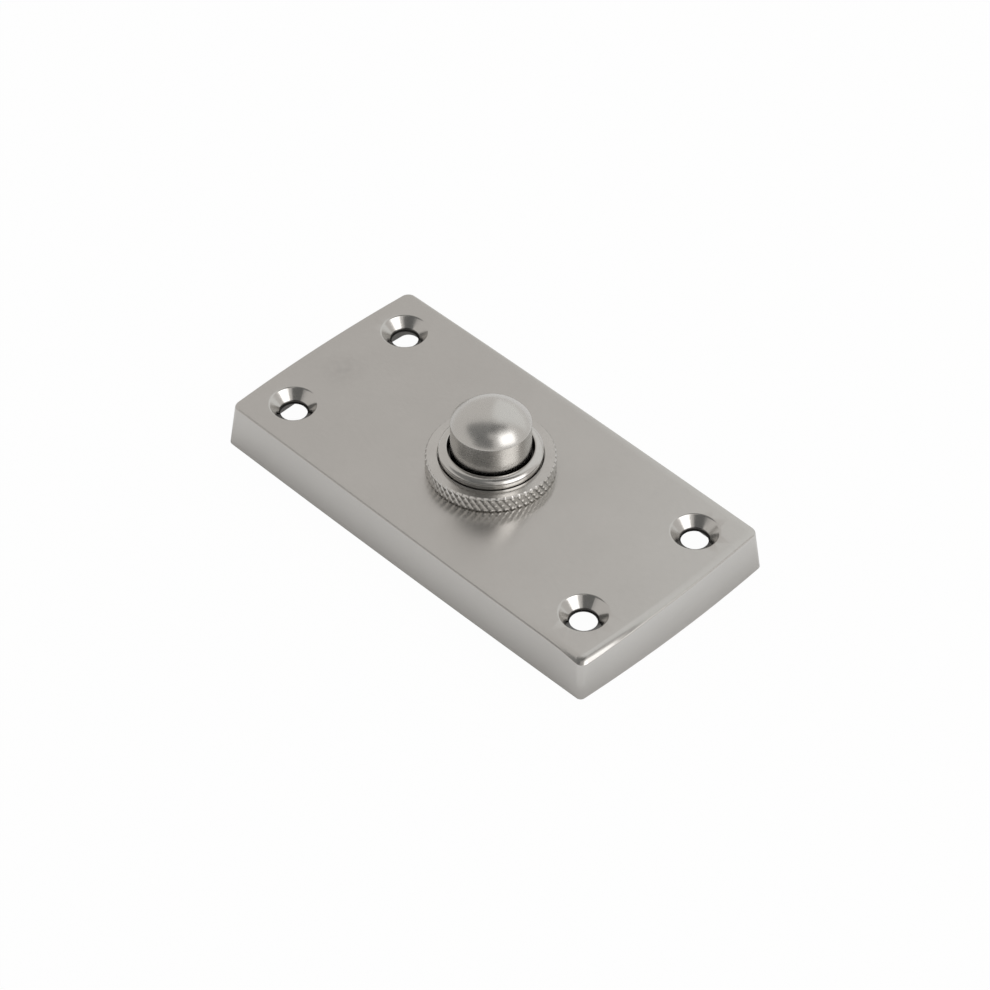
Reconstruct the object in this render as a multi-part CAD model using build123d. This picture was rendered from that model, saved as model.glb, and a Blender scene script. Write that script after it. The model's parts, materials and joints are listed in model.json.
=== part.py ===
from build123d import *
import math
import os

# Doorbell push button: a cast, hollow-backed rectangular plate with a sprung metal button.
# All sizes are millimetres. The plate lies on its back: z = 0 is the rim that meets the wall,
# +Z points out of the face towards the finger, +X runs along the long side.

# Face plate casting
plate_length = 79.3
plate_width = 40.3
plate_thickness = 8.0
end_bow = 0.7
side_bow = 0.22
draft_angle = 4.8
plate_corner_radius = 1.5
plate_edge_radius = 0.6
web_thickness = 1.4
rim_wall = 1.6
cavity_corner_radius = 1.6
seat_boss_height = 0.3
seat_boss_margin = 1.4

# Fixing holes, countersunk for small wood screws
hole_spacing_x = 63.6
hole_spacing_y = 24.2
fixing_hole_diameter = 4.3
countersink_diameter = 7.7
countersink_angle = 90.0
hole_boss_wall = 2.4
hole_boss_height = 0.8

# Barrel: turned sleeve that carries the button
barrel_outer_diameter = 16.2
lip_opening_diameter = 13.6
lip_height_over_ring = 1.6
lip_round = 0.55
lip_groove_depth = 0.12
lip_groove_width = 0.22
barrel_flange_width = 1.4
barrel_flange_thickness = 1.0
barrel_floor_thickness = 0.9
barrel_plate_clearance = 0.1
rear_washer_thickness = 0.4

# Knurled ring, screwed on to the barrel from the front
ring_width = 2.0
ring_height = 2.8
ring_thread_clearance = 0.1
ring_mouth_clearance = 0.2
ring_mouth_depth = 0.5
ring_edge_chamfer = 0.25
knurl_count = 54
knurl_depth = 0.3
knurl_angle = 33.0
knurl_groove_angle = 90.0

# Button
button_diameter = 12.6
button_stands_over_lip = 4.9
dome_height = 3.2
dome_crease_chamfer = 0.15
button_wall = 1.3
button_crown_wall = 3.1
button_travel = 1.6
collar_running_clearance = 0.09
collar_height = 1.0
skirt_floor_clearance = 0.25

# Stem, its bush and the bridging contact
stem_diameter = 3.0
stem_running_clearance = 0.08
stem_boss_wall = 1.0
stem_boss_length = 6.5
stem_grip = 4.5
stem_tip_diameter = 2.2
press_clearance = 0.03
stop_clearance = 0.1
bush_flange_thickness = 0.6
bush_flange_diameter = 6.4
bush_sleeve_wall = 1.0
disc_thickness = 0.5
insulating_washer_thickness = 0.5
clip_thickness = 0.5
clip_diameter = 5.2
clip_groove_depth = 0.25
clip_mouth_width = 1.5
stem_tail = 0.5

# Coil spring
spring_wire = 0.5
spring_mean_diameter = 7.4
spring_turns = 4.0

# Contacts on the moulded base
contact_gap_at_full_press = 0.1
rivet_spacing = 10.6
rivet_head_diameter = 2.5
rivet_head_height = 0.6
rivet_shank_diameter = 1.6
rivet_tail_diameter = 2.4
rivet_tail_height = 0.35
disc_overlap = 1.2
disc_side_clearance = 0.4
strip_thickness = 0.5
strip_inner_width = 3.4
strip_outer_width = 5.8

# Moulded base
base_centre_diameter = 22.0
base_ear_width = 9.0
base_depth = 2.2
base_floor_thickness = 1.2
base_flange_clearance = 0.3
base_wall_height = 1.0
base_wall_thickness = 0.9
wire_notch_width = 3.0
hole_clearance = 0.1
tip_hole_clearance = 0.6

# Terminal screws, one each side
terminal_spacing = 26.0
terminal_screw_diameter = 3.0
terminal_head_diameter = 5.4
terminal_head_height = 1.2
terminal_washer_diameter = 6.0
terminal_washer_thickness = 0.4
terminal_nut_width = 5.5
terminal_nut_height = 1.6
terminal_screw_tail = 0.2
screw_head_chamfer = 0.3
slot_width = 0.8
slot_depth = 0.7

# Screws that hold the base to the casting
base_screw_spacing = 40.0
base_screw_diameter = 2.5
base_head_diameter = 4.5
base_head_height = 1.5
lock_washer_thickness = 0.6
lock_washer_diameter = 4.4
lock_washer_gap = 0.5
base_screw_thread = 2.2
post_wall = 1.9
post_bore_tail = 0.3
rib_width = 1.6
rib_height = 1.2
rib_overlap = 1.0

# Levels worked out from the rear of the plate forwards
web_back = plate_thickness - web_thickness
seat_level = web_back - seat_boss_height
washer_back = seat_level - rear_washer_thickness
flange_back = washer_back - barrel_flange_thickness
base_front = flange_back - base_flange_clearance
ring_top = plate_thickness + ring_height
lip_top = ring_top + lip_height_over_ring
dome_edge = lip_top + button_stands_over_lip
button_top = dome_edge + dome_height

# The floor of the barrel sits where the whole contact stack clears the rivets
base_back = base_front - base_depth
cup_floor = base_back + base_floor_thickness
rivet_top = cup_floor + rivet_head_height
disc_back = rivet_top + contact_gap_at_full_press + button_travel
disc_front = disc_back + disc_thickness
bush_front = disc_front + bush_flange_thickness
barrel_floor_back = bush_front + stop_clearance
barrel_floor_front = barrel_floor_back + barrel_floor_thickness
skirt_bottom = barrel_floor_front + button_travel + skirt_floor_clearance
crown_inside = button_top - button_crown_wall
insulating_washer_back = disc_back - insulating_washer_thickness
clip_back = insulating_washer_back - clip_thickness
stem_end = clip_back - stem_tail
strip_back = base_back - strip_thickness
terminal_washer_back = strip_back - terminal_washer_thickness
terminal_head_back = terminal_washer_back - terminal_head_height

# Radii worked out from the fits
barrel_radius = barrel_outer_diameter / 2
lip_opening_radius = lip_opening_diameter / 2
flange_radius = barrel_radius + barrel_flange_width
plate_bore_radius = barrel_radius + barrel_plate_clearance
ring_bore_radius = barrel_radius + ring_thread_clearance
ring_mouth_radius = barrel_radius + ring_mouth_clearance
ring_radius = ring_bore_radius + ring_width
button_radius = button_diameter / 2
collar_radius = lip_opening_radius - collar_running_clearance
stem_radius = stem_diameter / 2
stem_hole_radius = stem_radius + stem_running_clearance
stem_tip_radius = stem_tip_diameter / 2
bush_bore_radius = stem_tip_radius + press_clearance
bush_sleeve_radius = bush_bore_radius + bush_sleeve_wall
disc_bore_radius = bush_sleeve_radius + press_clearance
disc_radius = rivet_spacing / 2 + disc_overlap
disc_room_radius = disc_radius + disc_side_clearance
tip_hole_radius = clip_diameter / 2 + tip_hole_clearance
rivet_x = rivet_spacing / 2
terminal_x = terminal_spacing / 2
base_screw_x = base_screw_spacing / 2
post_radius = base_screw_diameter / 2 + post_wall

parts = {}


def ring_of(outer, inner, bottom, top):
    """Flat round washer or sleeve between two levels."""
    height = top - bottom
    body = Cylinder(outer, height, align=(Align.CENTER, Align.CENTER, Align.MIN))
    bore = Cylinder(inner, height, align=(Align.CENTER, Align.CENTER, Align.MIN))
    return Pos(0, 0, bottom) * (body - bore)


def rod(radius, bottom, top):
    """Plain round bar between two levels."""
    return Pos(0, 0, bottom) * Cylinder(radius, top - bottom, align=(Align.CENTER, Align.CENTER, Align.MIN))


def turned(points):
    """Turn a closed profile of (radius, height) points about the Z axis."""
    profile = make_face(Polyline(*[(radius, 0, height) for radius, height in points], close=True))
    return revolve(profile, Axis.Z)


def bowed_outline(length, width, corner_radius):
    """Rectangle whose sides swell outwards a little, with rounded corners."""
    x = length / 2
    y = width / 2
    corner_x = x - end_bow
    corner_y = y - side_bow
    right = ThreePointArc((corner_x, -corner_y), (x, 0), (corner_x, corner_y))
    far = ThreePointArc((corner_x, corner_y), (0, y), (-corner_x, corner_y))
    left = ThreePointArc((-corner_x, corner_y), (-x, 0), (-corner_x, -corner_y))
    near = ThreePointArc((-corner_x, -corner_y), (0, -y), (corner_x, -corner_y))
    face = make_face([right, far, left, near])
    return fillet(face.vertices(), corner_radius)


def drafted_block(outline, height):
    """Block on an outline, whose sides lean in as it rises, so that a casting leaves its mould."""
    block = extrude(outline, height)
    return draft(block.faces().filter_by(Axis.Z, reverse=True), Plane.XY, draft_angle)


def make_face_plate():
    """Casting with a rounded front edge, a hollow back, two tapped posts and four fixing holes."""
    rim = bowed_outline(plate_length, plate_width, plate_corner_radius)
    body = drafted_block(rim, plate_thickness)
    front_edges = body.faces().sort_by(Axis.Z)[-1].edges()
    body = fillet(front_edges, plate_edge_radius)
    mouth = bowed_outline(plate_length - 2 * rim_wall, plate_width - 2 * rim_wall, cavity_corner_radius)
    body -= drafted_block(mouth, web_back)

    # Seat round the bore, with a rib to each post
    seat_radius = flange_radius + seat_boss_margin
    body += rod(seat_radius, seat_level, web_back)
    for side in (-1, 1):
        post = Pos(side * base_screw_x, 0) * rod(post_radius, base_front, web_back)
        rib_length = base_screw_x - seat_radius + rib_overlap
        rib_middle = side * (seat_radius + base_screw_x) / 2
        rib_place = Pos(rib_middle, 0, web_back - rib_height)
        rib = Box(rib_length, rib_width, rib_height, align=(Align.CENTER, Align.CENTER, Align.MIN))
        body += [post, rib_place * rib]
    bore_top = base_front + base_screw_thread + post_bore_tail
    for side in (-1, 1):
        thread_radius = base_screw_diameter / 2 + press_clearance
        body -= Pos(side * base_screw_x, 0) * rod(thread_radius, base_front, bore_top)
    body -= rod(plate_bore_radius, seat_level, plate_thickness)

    # Countersunk fixing holes, each with a boss behind that makes up for the thin web
    hole_radius = fixing_hole_diameter / 2
    boss_back = web_back - hole_boss_height
    sink_radius = countersink_diameter / 2
    sink_depth = (sink_radius - hole_radius) / math.tan(math.radians(countersink_angle / 2))
    sink = Cone(hole_radius, sink_radius, sink_depth, align=(Align.CENTER, Align.CENTER, Align.MAX))
    for place in GridLocations(hole_spacing_x, hole_spacing_y, 2, 2):
        body += place * rod(hole_radius + hole_boss_wall, boss_back, web_back)
        body -= place * rod(hole_radius, boss_back, plate_thickness)
        body -= place * Pos(0, 0, plate_thickness) * sink
    return body


def make_barrel():
    """Sleeve with a stepped lip in front, a floor for the spring and a clamping flange behind."""
    groove_top = lip_top - lip_round
    groove_bottom = groove_top - lip_groove_width
    groove_radius = barrel_radius - lip_groove_depth
    # The lip's outer edge is rounded, drawn with two flats that meet halfway round
    halfway = lip_round * (1 - math.cos(math.radians(45)))
    return turned([
        (disc_room_radius, flange_back),
        (flange_radius, flange_back),
        (flange_radius, washer_back),
        (barrel_radius, washer_back),
        (barrel_radius, groove_bottom),
        (groove_radius, groove_bottom),
        (groove_radius, groove_top),
        (barrel_radius, groove_top),
        (barrel_radius - halfway, lip_top - halfway),
        (barrel_radius - lip_round, lip_top),
        (lip_opening_radius, lip_top),
        (lip_opening_radius, barrel_floor_front),
        (stem_hole_radius, barrel_floor_front),
        (stem_hole_radius, barrel_floor_back),
        (disc_room_radius, barrel_floor_back),
    ])


def make_knurled_ring():
    """Collar with a diamond knurl cut by two families of slanted grooves."""
    # The tips of the knurl are small flats, so the blank has one flat for each row of tips
    blank = Pos(0, 0, plate_thickness) * extrude(RegularPolygon(ring_radius, 2 * knurl_count), ring_height)
    blank = chamfer(blank.faces().sort_by(Axis.Z)[-1].edges(), ring_edge_chamfer)
    blank -= rod(ring_bore_radius, plate_thickness, ring_top)
    blank -= rod(ring_mouth_radius, ring_top - ring_mouth_depth, ring_top)
    half_groove = knurl_depth * math.tan(math.radians(knurl_groove_angle / 2))
    groove_length = 2 * ring_height / math.cos(math.radians(knurl_angle))
    notch = make_face(Polyline((-2 * half_groove, 2 * knurl_depth), (0, 0), (2 * half_groove, 2 * knurl_depth),
                               close=True))
    cutter = extrude(notch, groove_length / 2, both=True)
    middle = plate_thickness + ring_height / 2
    cutters = []
    for index in range(knurl_count):
        turn = Rot(0, 0, 360 * index / knurl_count)
        for slant in (-knurl_angle, knurl_angle):
            place = Pos(0, -(ring_radius - knurl_depth), middle) * Rot(0, slant, 0) * Rot(180, 0, 0)
            cutters.append(turn * place * cutter)
    return blank - cutters


def make_button_cap():
    """Domed cap, hollow behind, with a guide collar on its skirt and a boss for the stem."""
    dome_radius = (button_radius ** 2 + dome_height ** 2) / (2 * dome_height)
    dome_centre = button_top - dome_radius
    half_angle = math.asin(button_radius / dome_radius) / 2
    dome_middle = (dome_radius * math.sin(half_angle), 0, dome_centre + dome_radius * math.cos(half_angle))
    boss_radius = stem_radius + stem_boss_wall
    boss_bottom = crown_inside - stem_boss_length
    inside = button_radius - button_wall
    top_point = (0, 0, button_top)
    dome = ThreePointArc((button_radius, 0, dome_edge), dome_middle, top_point)
    collar_top = skirt_bottom + collar_height
    outline = Polyline(
        top_point,
        (0, 0, boss_bottom),
        (boss_radius, 0, boss_bottom),
        (boss_radius, 0, crown_inside),
        (inside, 0, crown_inside),
        (inside, 0, skirt_bottom),
        (collar_radius, 0, skirt_bottom),
        (collar_radius, 0, collar_top),
        (button_radius, 0, collar_top),
        (button_radius, 0, dome_edge),
    )
    cap = revolve(make_face([outline, dome]), Axis.Z)
    stem_top = boss_bottom + stem_grip
    cap -= rod(stem_radius + press_clearance, boss_bottom, stem_top + stop_clearance)
    crease = cap.edges().filter_by(GeomType.CIRCLE).filter_by_position(Axis.Z, dome_edge - 0.01, dome_edge + 0.01)
    return chamfer(crease, dome_crease_chamfer)


def make_stem():
    """Pin that carries the contact: shouldered, with a groove for its clip."""
    stem_top = crown_inside - stem_boss_length + stem_grip
    body = rod(stem_radius, bush_front, stem_top)
    body += rod(stem_tip_radius, stem_end, bush_front)
    groove = ring_of(stem_radius, stem_tip_radius - clip_groove_depth, clip_back, insulating_washer_back)
    return body - groove


def make_clip():
    """Open snap ring that sits in the groove of the stem."""
    inner = stem_tip_radius - clip_groove_depth + press_clearance
    body = ring_of(clip_diameter / 2, inner, clip_back, insulating_washer_back)
    mouth = Box(clip_diameter, clip_mouth_width, 3 * clip_thickness, align=(Align.MIN, Align.CENTER, Align.CENTER))
    return body - Pos(0, 0, clip_back) * mouth


def make_return_spring():
    """Compression spring from the barrel floor to the crown of the button, its wire drawn with six flats."""
    length = crown_inside - barrel_floor_front - spring_wire
    path = Helix(length / spring_turns, length, spring_mean_diameter / 2)
    section = Plane(origin=path @ 0, z_dir=path % 0, x_dir=(1, 0, 0)) * RegularPolygon(spring_wire / 2, 6)
    return Pos(0, 0, barrel_floor_front + spring_wire / 2) * sweep(section, path, is_frenet=True)


def make_insulator_base():
    """Moulded base: round middle with two ears, a contact cup in front and a low wall behind."""
    ear = SlotCenterToCenter(base_screw_spacing, base_ear_width)
    outline = ear + Circle(base_centre_diameter / 2)
    inner = offset(outline.face(), -base_wall_thickness)
    body = Pos(0, 0, base_back) * extrude(outline, base_depth)
    wall = extrude(outline, base_wall_height) - extrude(inner, base_wall_height)
    body += Pos(0, 0, base_back - base_wall_height) * wall
    body -= rod(disc_room_radius, cup_floor, base_front)
    body -= rod(tip_hole_radius, base_back, cup_floor)
    for side in (-1, 1):
        at_rivet = Pos(side * rivet_x, 0)
        at_terminal = Pos(side * terminal_x, 0)
        at_screw = Pos(side * base_screw_x, 0)
        body -= at_rivet * rod(rivet_shank_diameter / 2 + press_clearance, base_back, cup_floor)
        body -= at_terminal * rod(terminal_screw_diameter / 2 + hole_clearance, base_back, base_front)
        body -= at_screw * rod(base_screw_diameter / 2 + hole_clearance, base_back, base_front)
        pocket_width = terminal_nut_width + 2 * press_clearance
        pocket = Box(pocket_width, pocket_width, terminal_nut_height, align=(Align.CENTER, Align.CENTER, Align.MAX))
        body -= at_terminal * Pos(0, 0, base_front) * pocket
        notch = Box(wire_notch_width, 2 * base_centre_diameter, base_wall_height,
                    align=(Align.CENTER, Align.CENTER, Align.MAX))
        body -= at_terminal * Pos(0, 0, base_back) * notch
    return body


def make_contact_strip(side):
    """Flat brass strip from the rivet to the terminal, on the back of the base."""
    inner = Pos(side * rivet_x, 0) * Circle(strip_inner_width / 2)
    outer = Pos(side * terminal_x, 0) * Circle(strip_outer_width / 2)
    outline = make_hull(inner.edges() + outer.edges())
    body = Pos(0, 0, strip_back) * extrude(outline, strip_thickness)
    body -= Pos(side * rivet_x, 0) * rod(rivet_shank_diameter / 2 + press_clearance, strip_back, base_back)
    body -= Pos(side * terminal_x, 0) * rod(terminal_screw_diameter / 2 + hole_clearance, strip_back, base_back)
    return body


def make_contact_rivet(side):
    """Round-headed contact rivet, closed over the strip."""
    head_radius = rivet_head_diameter / 2
    tail_radius = rivet_tail_diameter / 2
    shank_radius = rivet_shank_diameter / 2
    crown = rivet_head_height / 2
    body = turned([
        (0, strip_back - rivet_tail_height),
        (tail_radius - rivet_tail_height, strip_back - rivet_tail_height),
        (tail_radius, strip_back),
        (shank_radius, strip_back),
        (shank_radius, cup_floor),
        (head_radius, cup_floor),
        (head_radius, rivet_top - crown),
        (head_radius - crown, rivet_top),
        (0, rivet_top),
    ])
    return Pos(side * rivet_x, 0) * body


def make_slotted_screw(head_diameter, head_height, shank_diameter, head_back, shank_end):
    """Cheese-head screw that is driven from behind."""
    body = rod(head_diameter / 2, head_back, head_back + head_height)
    rim = body.faces().sort_by(Axis.Z)[0].edges()
    body = chamfer(rim, screw_head_chamfer)
    body += rod(shank_diameter / 2, head_back + head_height, shank_end)
    slot = Box(2 * head_diameter, slot_width, slot_depth, align=(Align.CENTER, Align.CENTER, Align.MIN))
    return body - Pos(0, 0, head_back) * slot


def make_terminal_screw(side, turn):
    shank_end = base_front + terminal_screw_tail
    screw = make_slotted_screw(terminal_head_diameter, terminal_head_height, terminal_screw_diameter,
                               terminal_head_back, shank_end)
    return Pos(side * terminal_x, 0) * Rot(0, 0, turn) * screw


def make_base_screw(side, turn):
    head_back = base_back - lock_washer_thickness - base_head_height
    screw = make_slotted_screw(base_head_diameter, base_head_height, base_screw_diameter,
                               head_back, base_front + base_screw_thread)
    return Pos(side * base_screw_x, 0) * Rot(0, 0, turn) * screw


def make_terminal_washer(side):
    inner = terminal_screw_diameter / 2 + hole_clearance
    return Pos(side * terminal_x, 0) * ring_of(terminal_washer_diameter / 2, inner, terminal_washer_back, strip_back)


def make_terminal_nut(side):
    """Square nut that is held in a pocket of the base."""
    bottom = base_front - terminal_nut_height
    body = Box(terminal_nut_width, terminal_nut_width, terminal_nut_height,
               align=(Align.CENTER, Align.CENTER, Align.MIN))
    body = Pos(0, 0, bottom) * body
    body -= rod(terminal_screw_diameter / 2 + press_clearance, bottom, base_front)
    return Pos(side * terminal_x, 0) * body


def make_lock_washer(side):
    """Split spring washer under the head of a base screw."""
    inner = base_screw_diameter / 2 + hole_clearance
    body = ring_of(lock_washer_diameter / 2, inner, base_back - lock_washer_thickness, base_back)
    gap = Box(lock_washer_diameter, lock_washer_gap, 3 * lock_washer_thickness,
              align=(Align.MIN, Align.CENTER, Align.CENTER))
    return Pos(side * base_screw_x, 0) * (body - Pos(0, 0, base_back) * Rot(0, 0, 50) * gap)


# Front pieces
parts["face_plate"] = make_face_plate()
parts["barrel"] = make_barrel()
parts["knurled_ring"] = make_knurled_ring()
parts["rear_washer"] = ring_of(flange_radius, plate_bore_radius, washer_back, seat_level)

# Moving pieces
parts["button_cap"] = make_button_cap()
parts["plunger_stem"] = make_stem()
parts["contact_bush"] = (ring_of(bush_flange_diameter / 2, bush_bore_radius, disc_front, bush_front)
                         + ring_of(bush_sleeve_radius, bush_bore_radius, insulating_washer_back, disc_front))
parts["contact_disc"] = ring_of(disc_radius, disc_bore_radius, disc_back, disc_front)
parts["insulating_washer"] = ring_of(bush_flange_diameter / 2, disc_bore_radius, insulating_washer_back, disc_back)
parts["stem_clip"] = make_clip()
parts["return_spring"] = make_return_spring()

# Contacts and fasteners on the moulded base
parts["insulator_base"] = make_insulator_base()
for name, side, turn in (("left", -1, 25), ("right", 1, -40)):
    parts["contact_strip_" + name] = make_contact_strip(side)
    parts["contact_rivet_" + name] = make_contact_rivet(side)
    parts["terminal_screw_" + name] = make_terminal_screw(side, turn)
    parts["terminal_washer_" + name] = make_terminal_washer(side)
    parts["terminal_nut_" + name] = make_terminal_nut(side)
    parts["base_screw_" + name] = make_base_screw(side, turn + 70)
    parts["lock_washer_" + name] = make_lock_washer(side)

os.makedirs("parts", exist_ok=True)
for name, shape in parts.items():
    export_step(shape, "parts/" + name + ".step")
    print(name, "volume", round(shape.volume, 2))
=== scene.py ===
# %% [markdown]
# # A satin nickel doorbell push, piece by piece
# The real object is a small cast plate with a hollow back. A turned barrel stands in the middle of it, a
# knurled ring clamps the barrel, and a domed button slides inside. The CAD model gives every piece its true
# size and place. This script gives each piece the shape of its edges and the finish of its surface.

# %% Load the frame
import json
import math

import bmesh
import bpy
from mathutils import Matrix, Quaternion, Vector


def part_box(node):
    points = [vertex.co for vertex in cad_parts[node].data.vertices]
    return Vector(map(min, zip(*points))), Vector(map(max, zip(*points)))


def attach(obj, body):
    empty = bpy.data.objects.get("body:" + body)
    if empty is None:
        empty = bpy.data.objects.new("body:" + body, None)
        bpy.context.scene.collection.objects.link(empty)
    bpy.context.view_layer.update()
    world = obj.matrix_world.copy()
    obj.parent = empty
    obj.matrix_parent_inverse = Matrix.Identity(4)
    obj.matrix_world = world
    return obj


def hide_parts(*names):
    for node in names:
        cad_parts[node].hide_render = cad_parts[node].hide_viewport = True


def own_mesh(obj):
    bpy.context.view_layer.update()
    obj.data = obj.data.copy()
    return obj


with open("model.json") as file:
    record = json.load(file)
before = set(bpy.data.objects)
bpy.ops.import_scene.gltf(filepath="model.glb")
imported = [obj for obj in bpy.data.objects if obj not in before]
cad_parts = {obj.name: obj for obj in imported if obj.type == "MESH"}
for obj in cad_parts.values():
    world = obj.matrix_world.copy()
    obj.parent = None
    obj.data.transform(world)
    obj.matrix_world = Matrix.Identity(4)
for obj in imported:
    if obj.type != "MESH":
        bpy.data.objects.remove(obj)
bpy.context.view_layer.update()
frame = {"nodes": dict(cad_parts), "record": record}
MM = 0.001
print("nodes in the frame:", len(frame["nodes"]))

# %% [markdown]
# ## Sizes from the frame
# A piece goes where the CAD says, so its place is read from the frame and never typed in again. Only the
# sizes that a box can't tell, such as a wall or the rounding of an edge, are written here, in millimetres.

# %% Sizes
def node_box(name):
    """Lowest and highest corner of a CAD node, in millimetres."""
    low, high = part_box(name)
    return [value / MM for value in low], [value / MM for value in high]


plate_high = node_box("face_plate")[1]
ring_low, ring_high = node_box("knurled_ring")
barrel_low, barrel_high = node_box("barrel")
cap_low, cap_high = node_box("button_cap")
washer_low, washer_high = node_box("rear_washer")
spring_low, spring_high = node_box("return_spring")
post_low = node_box("insulator_base")[1][2]

half_length, half_width, plate_top = plate_high
seat_level = washer_high[2]
web_back = seat_level + 0.3
ring_radius = ring_high[0]
ring_top = ring_high[2]
lip_top = barrel_high[2]
barrel_radius = 8.1
opening_radius = 6.8
button_radius = 6.3
dome_top = cap_high[2]
dome_edge = dome_top - 3.2
hole_x = 31.8
hole_y = 12.1
hole_radius = 2.15
sink_radius = 3.85
print("plate %.1f x %.1f x %.1f mm" % (2 * half_length, 2 * half_width, plate_top))


# %% [markdown]
# ## Outlines with eased corners
# No metal edge is perfectly sharp, and the thin light line on a rounded edge is what makes metal look real.
# Each turned piece is an outline of radius and height, and this helper rounds any corner of it with an arc.

# %% Outline helpers
hole_steps = 72


def eased(points, arc_steps=4):
    """Closed outline of (radius, height, rounding) points, with each corner replaced by an arc."""
    outline = []
    count = len(points)
    for index, (x, y, rounding) in enumerate(points):
        if rounding <= 0:
            outline.append((x, y))
            continue
        corner = Vector((x, y))
        back = Vector(points[index - 1][:2]) - corner
        ahead = Vector(points[(index + 1) % count][:2]) - corner
        angle = back.angle(ahead)
        reach = min(rounding / math.tan(angle / 2), 0.49 * back.length, 0.49 * ahead.length)
        radius = reach * math.tan(angle / 2)
        back.normalize()
        ahead.normalize()
        centre = corner + (back + ahead).normalized() * radius / math.sin(angle / 2)
        start = corner + back * reach - centre
        end = corner + ahead * reach - centre
        for step in range(arc_steps + 1):
            outline.append(tuple(centre + start.slerp(end, step / arc_steps).normalized() * radius))
    return outline


def add_object(name, data):
    """New object in the scene, at the origin."""
    made = bpy.data.objects.new(name, data)
    bpy.context.scene.collection.objects.link(made)
    return made


def add_mesh(name, builder):
    """New object from a bmesh, which is then freed."""
    mesh = bpy.data.meshes.new(name)
    builder.to_mesh(mesh)
    builder.free()
    return add_object(name, mesh)


def weight_normals(piece):
    """Let the large faces of a piece decide its shading, up to its sharp edges."""
    weighted = piece.modifiers.new("Weighted normals", "WEIGHTED_NORMAL")
    weighted.keep_sharp = True


def finished_mesh(name, builder, sharp_angle=32):
    """Object from a bmesh in metres, smooth except at its sharp edges, with its normals weighted."""
    bmesh.ops.remove_doubles(builder, verts=builder.verts, dist=1e-7)
    bmesh.ops.recalc_face_normals(builder, faces=builder.faces)
    piece = add_mesh(name, builder)
    piece.data.shade_smooth()
    piece.data.set_sharp_from_angle(angle=math.radians(sharp_angle))
    weight_normals(piece)
    return piece


def plain_mesh(piece):
    """Turn a piece and its modifiers into a plain mesh."""
    view = bpy.context.evaluated_depsgraph_get()
    result = bpy.data.meshes.new_from_object(piece.evaluated_get(view), depsgraph=view)
    piece.modifiers.clear()
    old = piece.data
    piece.data = result
    bpy.data.meshes.remove(old)
    result.name = piece.name
    return piece


def circle(radius, height, x=0.0, y=0.0, steps=hole_steps):
    """Points of a level circle, in metres."""
    points = []
    for index in range(steps):
        turn = 2 * math.pi * index / steps
        place = (x + radius * math.cos(turn), y + radius * math.sin(turn), height)
        points.append([value * MM for value in place])
    return points


def add_turned(builder, outline, steps):
    """Turn a closed outline of (radius, height) points about the upright axis."""
    loops = []
    for radius, height in outline:
        if radius < 1e-4:
            loops.append([builder.verts.new((0, 0, height * MM))] * steps)
        else:
            loops.append([builder.verts.new(point) for point in circle(radius, height, steps=steps)])
    for loop, following in zip(loops, loops[1:] + loops[:1]):
        for index in range(steps):
            after = (index + 1) % steps
            corners = [loop[index], loop[after], following[after], following[index]]
            distinct = list(dict.fromkeys(corners))
            if len(distinct) > 2:
                builder.faces.new(distinct)


# %% [markdown]
# ## Nodes by script
# Shapes and materials are both made of nodes here. This helper adds a node, sets it and links it in one line,
# so that a tree reads like a formula.

# %% Node helper
class Nodes:
    """A node tree that grows one node at a time. An input is a value or another node's output."""

    def __init__(self, group):
        self.nodes = group.nodes
        self.links = group.links

    def node(self, kind, inputs=(), **settings):
        made = self.nodes.new(kind)
        for name, value in settings.items():
            setattr(made, name, value)
        for name, value in dict(inputs).items():
            if isinstance(value, bpy.types.NodeSocket):
                self.links.new(value, made.inputs[name])
            else:
                made.inputs[name].default_value = value
        return made

    def math(self, operation, first, second=0.0, third=0.0):
        return self.node("ShaderNodeMath", {0: first, 1: second, 2: third}, operation=operation).outputs[0]

    def length(self, first, second):
        """Long side of a right-angled triangle, from its two short ones."""
        squares = self.math("ADD", self.math("POWER", first, 2.0), self.math("POWER", second, 2.0))
        return self.math("SQRT", squares)

    def times(self, first, *others):
        """All of them multiplied."""
        for other in others:
            first = self.math("MULTIPLY", first, other)
        return first

    def ramp(self, value, start, end, low, high):
        """low where the value is at start or before it, high at end or past it."""
        return self.node("ShaderNodeMapRange", {0: value, 1: start, 2: end, 3: low, 4: high}).outputs[0]


# %% [markdown]
# ## Geometry Nodes by script
# The knurl and the coil repeat by a rule, so a node tree makes each of them. A tree has named inputs for its
# sizes, and the modifier then sets them by the input's identifier.

# %% Geometry tree
class Tree(Nodes):
    """A Geometry Nodes tree that is built one node at a time."""

    def __init__(self, name):
        self.group = bpy.data.node_groups.new(name, "GeometryNodeTree")
        super().__init__(self.group)
        for in_out in ("INPUT", "OUTPUT"):
            self.group.interface.new_socket("Geometry", in_out=in_out, socket_type="NodeSocketGeometry")
        self.start = self.nodes.new("NodeGroupInput")
        self.end = self.nodes.new("NodeGroupOutput")
        self.names = {}

    def sizes(self, *names):
        """Named inputs of the tree. The modifier sets every one of them."""
        for name in names:
            socket = self.group.interface.new_socket(name, in_out="INPUT", socket_type="NodeSocketFloat")
            self.names[name] = socket.identifier
        return [self.start.outputs[name] for name in names]

    def finish(self, geometry, material):
        """End the tree, with everything real and in one material."""
        whole = self.node("GeometryNodeRealizeInstances", {"Geometry": geometry})
        coated = self.node("GeometryNodeSetMaterial", {"Geometry": whole.outputs[0], "Material": material})
        self.links.new(coated.outputs[0], self.end.inputs[0])

    def use(self, piece, **sizes):
        """Run the tree on a piece, with sizes by name, and leave a plain mesh."""
        modifier = piece.modifiers.new(self.group.name, "NODES")
        modifier.node_group = self.group
        for name, value in sizes.items():
            modifier[self.names[name.replace("_", " ").capitalize()]] = value
        return plain_mesh(piece)


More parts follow.
